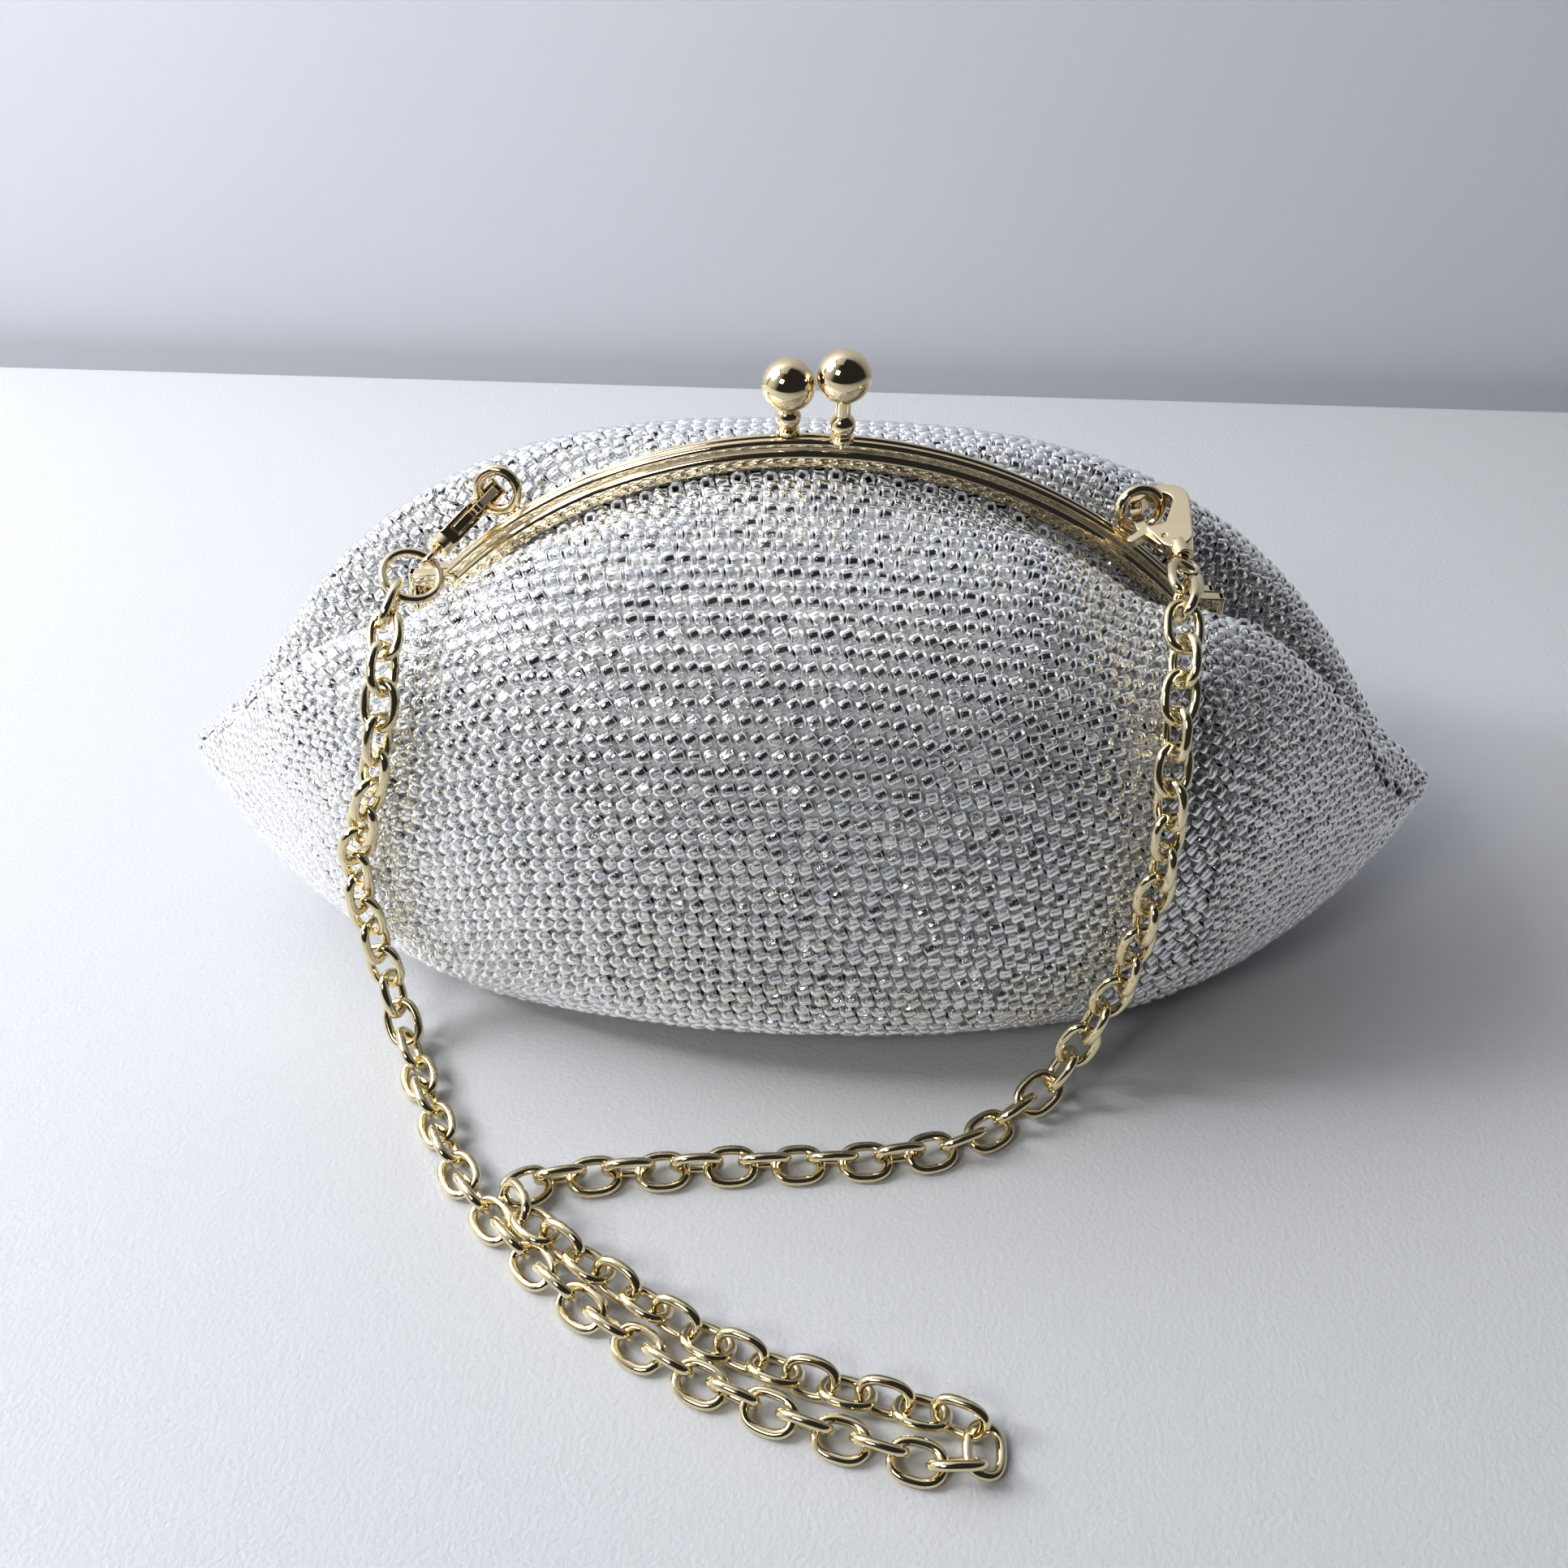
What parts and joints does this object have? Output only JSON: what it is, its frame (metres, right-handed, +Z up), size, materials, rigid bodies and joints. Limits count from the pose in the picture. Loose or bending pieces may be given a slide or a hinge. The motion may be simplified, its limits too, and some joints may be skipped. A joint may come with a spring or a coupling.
{
  "type": "beaded evening bag",
  "caption": "Soft pouch-shaped evening bag covered in glass tube beads, on an arched kiss-lock metal frame that hinges open, with a detachable cable chain.",
  "frame": {"origin": "centre of the flat underside the bag stands on, under the middle of the frame", "axes": "+X to the bag's right seen from the front, -Y is the front with the chain, +Z up through the knobs"},
  "size_m": [0.261, 0.2002, 0.1322],
  "materials": {
    "bead_cloth": "silver-lined glass tube beads sewn in rows",
    "satin": "grey satin",
    "strip_cloth": "woven edging glued in the frame channel",
    "pale_gold": "polished pale gold plating",
    "chain_gold": "polished pale gold plating",
    "spring_steel": "spring wire"
  },
  "bodies": {
    "bag": {"pouch": "bead_cloth", "lining": "satin", "back_frame": "pale_gold", "back_edge_strip": "strip_cloth", "hinge_rivets": "pale_gold", "back_knob": "pale_gold", "left_loop_ring": "pale_gold", "right_loop_ring": "pale_gold", "chain": "chain_gold"},
    "front_half": {"front_frame": "pale_gold", "front_edge_strip": "strip_cloth", "front_knob": "pale_gold"},
    "left_clasp": {"left_clasp_body": "pale_gold", "left_lever_pin": "pale_gold", "left_lever_spring": "spring_steel"},
    "left_trigger": {"left_lever": "pale_gold"},
    "left_eye": {"left_swivel_eye": "pale_gold"},
    "left_jump": {"jump_ring": "pale_gold"},
    "right_clasp": {"right_clasp_body": "pale_gold", "right_lever_pin": "pale_gold", "right_lever_spring": "spring_steel"},
    "right_trigger": {"right_lever": "pale_gold"},
    "right_eye": {"right_swivel_eye": "pale_gold"}
  },
  "joints": [
    {"name": "front_opening", "type": "hinge", "parent": "bag", "child": "front_half", "pos_m": [0, 0, 0.0773], "axis": [1, 0, 0], "range_deg": [0, 60], "deforming": ["pouch", "lining"]},
    {"name": "left_clasp_swing", "type": "hinge", "parent": "bag", "child": "left_clasp", "pos_m": [-0.06441, 0.00256, 0.09741], "axis": [0.7119, -0.2262, -0.6648], "range_deg": [-6, 6]},
    {"name": "left_lever_press", "type": "hinge", "parent": "left_clasp", "child": "left_trigger", "pos_m": [-0.06784, -0.00693, 0.09697], "axis": [-0.7119, 0.2262, 0.6648], "range_deg": [0, 12], "stiffness_Nm_per_rad": 0.002, "springref_deg": -17.19},
    {"name": "left_eye_turn", "type": "hinge", "parent": "left_clasp", "child": "left_eye", "pos_m": [-0.07098, -0.01062, 0.09486], "axis": [0.4427, 0.8794, 0.1749], "range_deg": [-15, 15]},
    {"name": "jump_ring_swing", "type": "hinge", "parent": "left_eye", "child": "left_jump", "pos_m": [-0.07235, -0.01334, 0.09432], "axis": [0.3221, -0.338, 0.8843], "range_deg": [-8, 1]},
    {"name": "right_clasp_swing", "type": "hinge", "parent": "bag", "child": "right_clasp", "pos_m": [0.06528, 0.00334, 0.10043], "axis": [-0.2276, -0.1894, 0.9552], "range_deg": [-6, 6]},
    {"name": "right_lever_press", "type": "hinge", "parent": "right_clasp", "child": "right_trigger", "pos_m": [0.06534, -0.00649, 0.0985], "axis": [0.2276, 0.1894, -0.9552], "range_deg": [0, 12], "stiffness_Nm_per_rad": 0.002, "springref_deg": -17.19},
    {"name": "right_eye_turn", "type": "hinge", "parent": "right_clasp", "child": "right_eye", "pos_m": [0.06778, -0.01117, 0.09815], "axis": [-0.1601, 0.9748, 0.1551], "range_deg": [-20, 20]}
  ]
}
